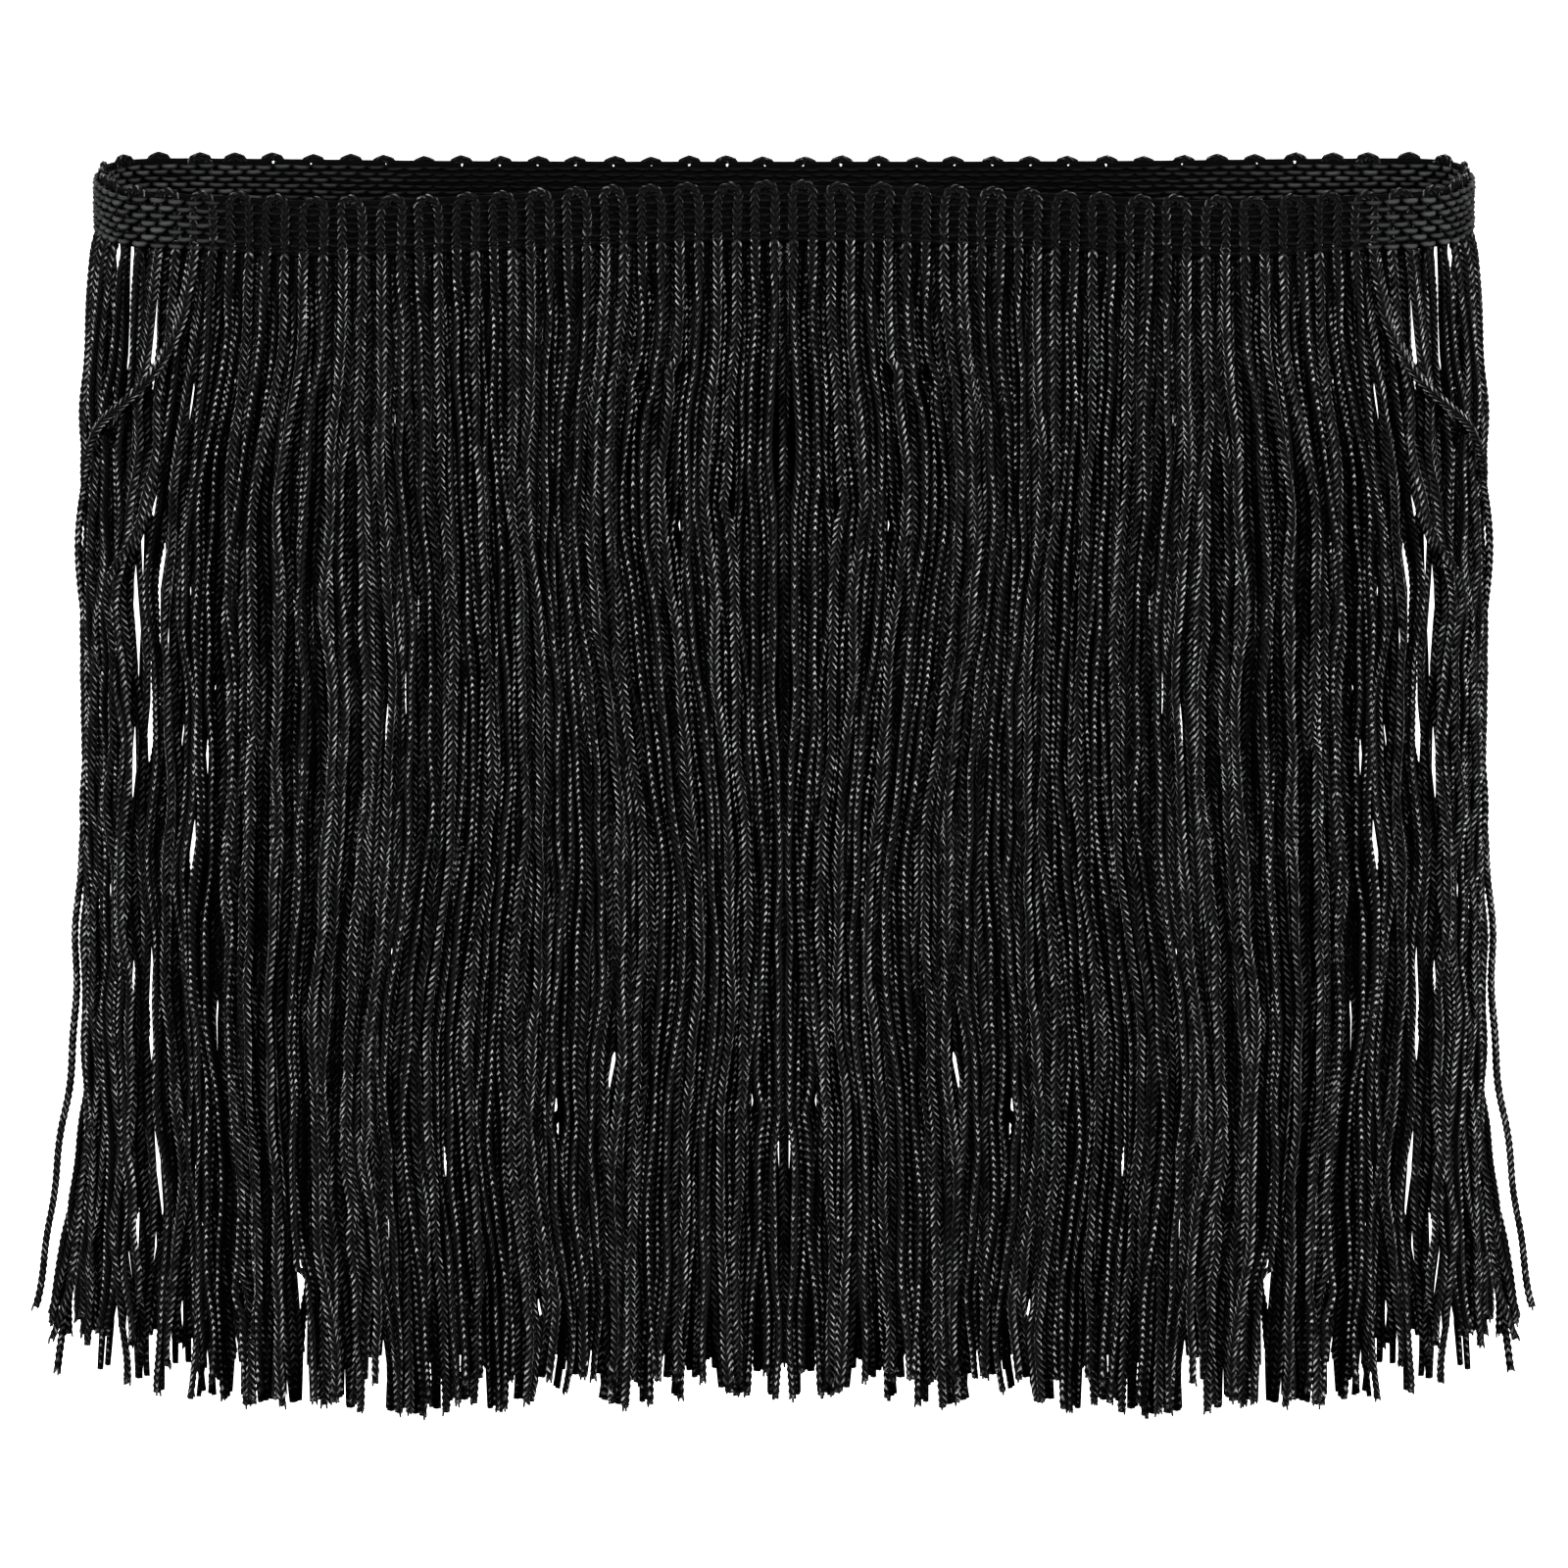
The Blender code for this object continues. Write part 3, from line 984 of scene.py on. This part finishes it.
@dataclass
class Fringe:
    """The strands of all rows, each a knitted chain from the heading to its cut end."""

    layout: TrimLayout
    shown: Chain = Chain()
    plainer: Chain = Chain(rings_a_stitch=1)
    plainest: Chain = Chain(0.82, 0.6, 7.2, rings_a_stitch=1, groove=1.0, drawn_stitches=6.0)
    samples: int = 700
    end_columns: int = 8
    outer_root: float = -8.6
    end_root: float = -9.6
    end_reach: float = 26.0
    edge_on: float = 0.5
    twist_drift: float = 0.38
    twist_length: float = 118.0
    straight_reach: float = 24.0

    def stretches(self) -> dict[str, tuple[str, range]]:
        """Piece name, the CAD node that it stands for and its columns."""
        layout = self.layout
        end_column = round(layout.end_along / layout.pitch / 4) * 4
        near, far = end_column - self.end_columns, end_column + self.end_columns
        all_round = layout.columns
        return {
            "strands_front_right": ("fringe_front", range(0, near + 1)),
            "strands_front_left": ("fringe_front", range(-near, 0)),
            "strands_end_right": ("fringe_end_right", range(near + 1, far + 1)),
            "strands_back_right": ("fringe_back", range(far + 1, all_round // 2 + 1)),
            "strands_back_left": ("fringe_back", range(all_round // 2 + 1, all_round - far)),
            "strands_end_left": ("fringe_end_left", range(all_round - far, all_round - near)),
        }

    def paths(self, column: Array, row: Row, chain: Chain) -> tuple[Array, Array, Array]:
        """Evenly spaced points down each strand, with its face and its turn.

        Args:
            column: The strands' columns.
            row: The row that they hang in.
            chain: The chain, which sets how many rings there are.

        Returns:
            Points in metres, unit vectors out of the ring, and turns in radians.
        """
        layout = self.layout
        near_end = layout.from_end(column[:, None]) < self.end_reach
        tucked = near_end | (row is not Row.OUTER)
        root = np.where(tucked, self.end_root, self.outer_root)
        drop = layout.tips(column)[:, None] - root
        share = np.linspace(0.0, 1.0, self.samples)[None, :]
        level = root + drop * share
        along, out = layout.strands(column, level, row)
        points = layout.wrap(along, out, level)
        spans = np.linalg.norm(np.diff(points, axis=1), axis=2)
        distance = np.pad(np.cumsum(spans, axis=1), ((0, 0), (1, 0)))
        rings = chain.ring_count(float(np.mean(distance[:, -1])) / MILLIMETRE)
        even = distance[:, -1:] * np.linspace(0.0, 1.0, rings)[None, :]
        at = np.stack([np.interp(e, d, share[0]) for e, d in zip(even, distance)])
        level = root + drop * at
        along, out = layout.strands(column, level, row)
        side, twin = layout.side_and_twin(column[:, None])
        looks = layout.looks[twin]
        twist_length = self.twist_length * (0.7 + 0.6 * looks[..., Look.TWIST_LENGTH])
        drift = np.sin(TAU * (level / twist_length + looks[..., Look.TWIST_START]))
        turn = np.pi / 2 * (looks[..., Look.TONE] > 1 - self.edge_on) + self.twist_drift * drift
        turn = turn * np.where(side == 0, 1, side)
        turn = turn * ease(-level, layout.heading_height, self.straight_reach)
        return layout.wrap(along, out, level), layout.outward(along), turn

    def chain(self, name: str, row: Row) -> Chain:
        """The chain of a row: plainer where others hide it, and plainest in the hidden rows."""
        if row.hidden:
            return self.plainest
        return self.shown if row is Row.OUTER or "front" in name else self.plainer

    def row(self, columns: range, row: Row, chain: Chain) -> Sweep:
        """The strands of one row in a stretch of columns."""
        layout = self.layout
        column = layout.present(columns, row)
        path, face, turn = self.paths(column, row, chain)
        _, twin = layout.side_and_twin(column)
        direction = np.where(twin % 4 < 2, 1.0, -1.0)
        return chain.sweep(path, face, turn, direction, layout.looks[twin, Look.TONE])

    def build(self, finish: bpy.types.Material) -> list[bpy.types.Object]:
        """All the strands, a piece for each row of each stretch that has any."""
        made = []
        for name, (node, columns) in self.stretches().items():
            for row in (row for row in Row if len(self.layout.present(columns, row))):
                sweep = self.row(columns, row, self.chain(name, row))
                mesh = sweep.mesh(f"{name}_{row.value}_row")
                made.append(piece_from(mesh, finish, "chainette", node))
        return made


@dataclass
class CutEnds:
    """Loose filaments at the cut end of each strand."""

    fringe: Fringe
    filaments: int = 4
    length: float = 1.7
    shortest: float = 0.35
    tucked: float = 0.9
    spread: float = 0.36
    splay: float = 0.22
    splay_power: float = 1.6
    yarn: Yarn = Yarn(half_width=0.26, half_depth=0.24, sides=3, end_size=0.75)

    def build(self, finish: bpy.types.Material) -> bpy.types.Object:
        """Tufts: short yarns that leave the tip and splay, as a power of the distance."""
        tufts = [self.tufts(row) for row in (Row.OUTER, Row.INNER)]
        path, face, tone = (np.concatenate(parts) for parts in zip(*tufts))
        mesh = self.yarn.sweep(path, face, tone).mesh("cut_ends")
        return piece_from(mesh, finish, "chainette")

    def tufts(self, row: Row) -> tuple[Array, Array, Array]:
        """Path, face and tone of every filament in one row."""
        layout = self.fringe.layout
        column = layout.present(range(layout.columns), row)
        chance = draws(LOOKS_SEED + len(row.value), len(column), self.filaments, 4)
        share = np.linspace(0.0, 1.0, 3)[None, None, :]
        length = self.length * (self.shortest + (1 - self.shortest) * chance[..., :1])
        tips = layout.tips(column)[:, None]
        level = tips[:, None] + self.tucked - length * share
        filament = np.arange(self.filaments)[None, :, None]
        fan = TAU * (filament / self.filaments + 0.1 * chance[..., 1:2])
        spread = self.spread + self.splay * chance[..., 2:3] * share**self.splay_power
        above_tip = np.maximum(level.reshape(len(column), -1), tips)
        along, out = layout.strands(column, above_tip, row)
        along = along.reshape(level.shape) + spread * np.sin(fan)
        out = out.reshape(level.shape) + spread * np.cos(fan)
        path = layout.wrap(along, out, level).reshape(-1, 3, 3)
        face = layout.outward(along).reshape(-1, 3, 3)
        # The last random number is each filament's tone, which sets the strength of its painted
        # highlight
        return path, face, chance[..., 3].ravel()


@dataclass(frozen=True)
class BindingFace:
    """Binding stitches on one face of the heading.

    Attributes:
        name: Name of the piece.
        side: 1 outside, -1 inside.
        rows: How many rows of stitches there are.
        pitch: Distance from one row to the next.
        end: Distances from an end of the ring between which the stitches sink into the band.
        lift: How far they stand off the middle layer, and how much further at the ends.
        yarn: The yarn.
    """

    name: str
    side: int
    rows: int
    pitch: float
    end: tuple[float, float]
    lift: tuple[float, float]
    yarn: Yarn


@dataclass
class Heading:
    """The stitched band at the top: ground, chain loops and the yarn that binds them in."""

    layout: TrimLayout
    chain: Chain = Chain(
        half_width=0.78,
        half_depth=0.62,
        sides=8,
        rings_a_stitch=3,
        groove=0.8,
        notch=0.28,
        climb=1.1,
    )
    # Loops: foot, distance out, arch's radius in columns and depth of its top, with their spread
    loop_foot: float = -9.6
    loop_out: float = 0.55
    arch_radius: tuple[float, float] = (1.04, 0.05)
    arch_drop: tuple[float, float] = (0.1, 0.35)
    arch_sunk: tuple[float, float] = (0.2, 0.3)
    arch_lean: float = 0.5
    sunk_leg: float = 0.4
    # Ground
    thickness: float = 0.9
    swelling: float = 0.12
    foot: float = -10.3
    top: float = -1.05
    eye: float = -2.1
    eye_share: float = 0.85
    eye_reach: float = 34.0
    # Binding: level of the first row, half length and sag of a stitch, how deep its ends dive
    first: float = -2.1
    reach: float = 1.7
    sag: float = 0.22
    dive: float = 0.25
    uneven: tuple[float, float, float] = (0.25, 0.2, 0.1)
    outer: BindingFace = BindingFace(
        "binding_outside", 1, 7, 1.22, (22.0, 38.0), (0.42, 0.93), Yarn(0.50, 0.30, 4)
    )
    inner: BindingFace = BindingFace(
        "binding_inside", -1, 8, 1.0, (16.0, 74.0), (0.6, 0.28), Yarn(0.50, 0.30, 3)
    )

    def ground(self, finish: bpy.types.Material) -> bpy.types.Object:
        """Thin closed band: a rounded section carried round the ring, swelling over each leg."""
        layout = self.layout
        steps = layout.columns * 4
        column = np.arange(steps)[:, None] / 4
        swell = 0.5 - 0.5 * np.cos(np.pi * column)
        nearest = 4 * np.floor(column / 4) + 2
        _, twin = layout.side_and_twin(nearest.astype(int))
        away = layout.from_end(nearest.astype(int)) > self.eye_reach
        is_open = (layout.looks[twin, Look.EYE] < self.eye_share) & away
        top = np.where(is_open & (column == nearest), self.eye, self.top)
        outs, heights = np.array(BAND_SECTION).T
        out = outs * (self.thickness / 2 - self.swelling + self.swelling * swell)
        level = self.foot + (top - self.foot) * heights
        rings = layout.wrap(column * layout.pitch, out, level)
        sides = len(BAND_SECTION)
        index = np.arange(steps * sides).reshape(steps, sides)
        ahead, around = np.roll(index, -1, axis=0), np.roll(index, -1, axis=1)
        faces = np.stack([index, around, np.roll(around, -1, axis=0), ahead], axis=-1)[..., ::-1]
        corners, sizes = faces.ravel().astype(np.int32), np.full(steps * sides, 4)
        mesh = filled_mesh("heading_ground", rings.reshape(-1, 3), corners, sizes)
        return piece_from(mesh, finish, "heading_yarn", "heading")

    def at_end(self, column: Array, reach: tuple[float, float]) -> Array:
        """1 for columns near an end of the ring, 0 far from it, smooth between two distances."""
        return 1 - ease(self.layout.from_end(column), *reach)

    def loop_paths(self) -> tuple[Array, Array, Array, Array]:
        """Up one leg, over the arch and down the other: straight, half a circle and straight."""
        layout = self.layout
        middle = 4 * np.arange(layout.loops) + 2
        side, twin = layout.side_and_twin(middle)
        looks = layout.looks[twin]
        wide, high, lean, deep = (
            looks[:, look, None]
            for look in (Look.ARCH_WIDTH, Look.ARCH_HEIGHT, Look.ARCH_LEAN, Look.ARCH_OUT)
        )
        radius = layout.pitch * (self.arch_radius[0] + self.arch_radius[1] * wide)
        crown = -self.chain.half_width + self.arch_drop[0] - self.arch_drop[1] * high
        leg = crown - radius - self.loop_foot
        length = 2 * leg + np.pi * radius
        rings = self.chain.ring_count(float(np.mean(length)))
        place = length * np.linspace(0.0, 1.0, rings)[None, :]
        angle = np.clip((place - leg) / radius, 0.0, np.pi)
        level = crown - radius + radius * np.sin(angle)
        level = level - np.maximum(leg - place, 0.0)
        level = level - np.maximum(place - leg - np.pi * radius, 0.0)
        lean = self.arch_lean * (2 * lean - 1) * ease(level, -5.0, 0.0)
        at_end = self.at_end(middle, self.outer.end)[:, None]
        sunk = self.sunk_leg * at_end * ease(-level, 0.8, 2.2)
        along = middle[:, None] * layout.pitch - side[:, None] * (radius * np.cos(angle) - lean)
        tilt = (self.arch_sunk[0] + self.arch_sunk[1] * deep) * ease(level, -4.0, 0.0)
        path = layout.wrap(along, self.loop_out - sunk - tilt, level)
        turn = np.zeros(path.shape[:2])
        return path, layout.outward(along), turn, looks[:, Look.TONE]

    def loops(self, finish: bpy.types.Material) -> bpy.types.Object:
        """The chain loops of the whole ring."""
        path, face, turn, tone = self.loop_paths()
        sweep = self.chain.sweep(path, face, turn, np.ones(len(path)), tone)
        return piece_from(sweep.mesh("heading_loops"), finish, "chainette")

    def binding(self, face: BindingFace, finish: bpy.types.Material) -> bpy.types.Object:
        """Short yarns that cross each leg: a parabola that dives into the band at both ends.

        Args:
            face: The heading's face that they are on.
            finish: Their material.

        Returns:
            The object.
        """
        layout = self.layout
        column = np.arange(1, layout.columns, 2)
        at_end = self.at_end(column, face.end)[:, None, None]
        chance = draws(LOOKS_SEED + 2 + (face.side > 0), len(column), face.rows, 4)
        rise, slope, height = self.uneven
        row = np.arange(face.rows)[None, :, None]
        share = np.linspace(-1.0, 1.0, 5)[None, None, :]
        level = self.first - face.pitch * row - self.sag * (1 - share**2)
        level = level + rise * (chance[..., :1] - 0.5) + slope * (chance[..., 1:2] - 0.5) * share
        staggered = np.where(row % 2 == 0, 0.0, layout.pitch)
        along = column[:, None, None] * layout.pitch + self.reach * share + staggered
        lift = face.lift[0] + face.lift[1] * at_end + height * chance[..., 2:3]
        out = face.side * (self.dive + (lift - self.dive) * (1 - share**2) ** 0.6)
        shape = (-1, share.shape[-1], 3)
        path = layout.wrap(along, out, level).reshape(shape)
        outward = np.broadcast_to(layout.outward(along), (*level.shape, 3)).reshape(shape)
        # Tone is 0 away from the ends of the ring and rises near them: the finish paints a
        # highlight there, where the side lights catch the yarn, and the yarn is stouter there
        tone = (at_end[..., 0] * (0.4 + 0.6 * chance[..., 3])).ravel()
        mesh = face.yarn.sweep(path, outward, tone, 0.62 + 0.38 * tone).mesh(face.name)
        return piece_from(mesh, finish, "heading_yarn")


@dataclass
class Studio:
    """Camera, lights, backdrop and the pale floor."""

    elevation: float = VIEW_ELEVATION
    distance: float = VIEW_DISTANCE
    frame_width: float = 0.2552
    sensor: float = 36.0
    target: tuple[float, float, float] = VIEW_TARGET
    floor_level: float = -0.45
    floor_reach: float = 14.0
    ambient: float = 0.03
    backdrop: float = 1.1

    def camera(self) -> None:
        """Camera in front of the ring and a little above it, with a long lens."""
        tilt = math.radians(self.elevation)
        optics = bpy.data.cameras.new("camera")
        optics.sensor_width = self.sensor
        optics.lens = self.sensor * self.distance / self.frame_width
        optics.clip_start = 0.05
        optics.clip_end = 60.0
        camera = placed("camera", optics)
        x, y, z = self.target
        back, up = self.distance * math.cos(tilt), self.distance * math.sin(tilt)
        camera.location = (x, y - back, z + up)
        camera.rotation_euler = (math.pi / 2 - tilt, 0.0, 0.0)
        bpy.context.scene.camera = camera

    def softbox(
        self, name: str, place: Sequence[float], size: tuple[float, float], power: float
    ) -> None:
        """Rectangular soft light that faces the fringe."""
        light = bpy.data.lights.new(name, "AREA")
        light.shape = "RECTANGLE"
        light.size, light.size_y = size
        light.energy = power
        made = placed(name, light)
        made.location = place
        aim = np.array(self.target) - np.array(place)
        yaw = math.atan2(-aim[0], aim[1])
        pitch = math.atan2(math.hypot(aim[0], aim[1]), -aim[2])
        made.rotation_euler = (pitch, 0.0, yaw)

    def lights(self) -> None:
        """Two softboxes at the sides, one above in front, and one behind over the floor."""
        self.softbox("left_softbox", (-1.5, -0.9, 0.35), (0.6, 1.2), 62.0)
        self.softbox("right_softbox", (1.5, -0.9, 0.35), (0.6, 1.2), 62.0)
        self.softbox("front_softbox", (0.0, -1.5, 1.5), (1.2, 0.5), 26.0)
        self.softbox("rear_softbox", (0.0, 1.8, 1.6), (1.6, 0.8), 60.0)

    def world(self) -> None:
        """White backdrop, which lights the part less than it shows."""
        world = bpy.data.worlds.new("studio")
        bpy.context.scene.world = world
        world.use_nodes = True
        tree = world.node_tree
        background = tree.nodes["Background"]
        background.inputs["Color"].default_value = (1.0, 1.0, 1.0, 1.0)
        rays = tree.nodes.new("ShaderNodeLightPath")
        strength = tree.nodes.new("ShaderNodeMix")
        strength.inputs[2].default_value = self.ambient
        strength.inputs[3].default_value = self.backdrop
        tree.links.new(rays.outputs["Is Camera Ray"], strength.inputs[0])
        tree.links.new(strength.outputs[0], background.inputs["Strength"])
        bpy.context.scene.view_settings.view_transform = "Standard"

    def floor(self) -> None:
        """Wide pale floor well below the cut ends, brighter than paper so that it stays even."""
        reach, level = self.floor_reach, self.floor_level
        corners = np.array([(x * reach, y * reach, level) for x, y in FLOOR_CORNERS])
        mesh = filled_mesh("floor", corners, np.arange(4, dtype=np.int32), np.array([4]))
        graph = Graph("floor_paper")
        grain = graph.noise(graph.place(), 6.0, 2.0)
        colour = graph.mix(grain, (0.86, 0.86, 0.86), (0.90, 0.90, 0.90))
        light = {"Emission Color": (1.0, 1.0, 1.0, 1.0), "Emission Strength": 1.0}
        paper = {"Base Color": colour, "Roughness": 0.9, "Specular IOR Level": 0.1}
        mesh.materials.append(graph.dress(paper | light))
        made = placed("floor", mesh)
        made.visible_diffuse = made.visible_glossy = False

    def build(self) -> None:
        """Everything that isn't part of the trim."""
        self.camera()
        self.lights()
        self.world()
        self.floor()


def main() -> None:
    """Builds the trim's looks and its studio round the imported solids."""
    logging.basicConfig(level=logging.INFO, format="%(message)s")
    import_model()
    Studio().build()
    layout = TrimLayout()
    chainette = ChainetteFinish("chainette_black").material()
    # Chainette of the loops: darker yarn and a weaker painted highlight
    bound_chainette = ChainetteFinish(
        "bound_chainette_black",
        yarn=(0.0012, 0.0012, 0.0012),
        painted_highlight=(0.105, 0.107, 0.107),
        broken=1.0,
    ).material()
    binding = BindingFinish("binding_yarn_black").material()
    fringe = Fringe(layout)
    strands = fringe.build(chainette)
    tufts = CutEnds(fringe).build(binding)
    heading = Heading(layout)
    ground = heading.ground(GroundFinish("heading_ground_black").material())
    loops = heading.loops(bound_chainette)
    outside, inside = (heading.binding(face, binding) for face in (heading.outer, heading.inner))


if __name__ == "__main__":
    main()
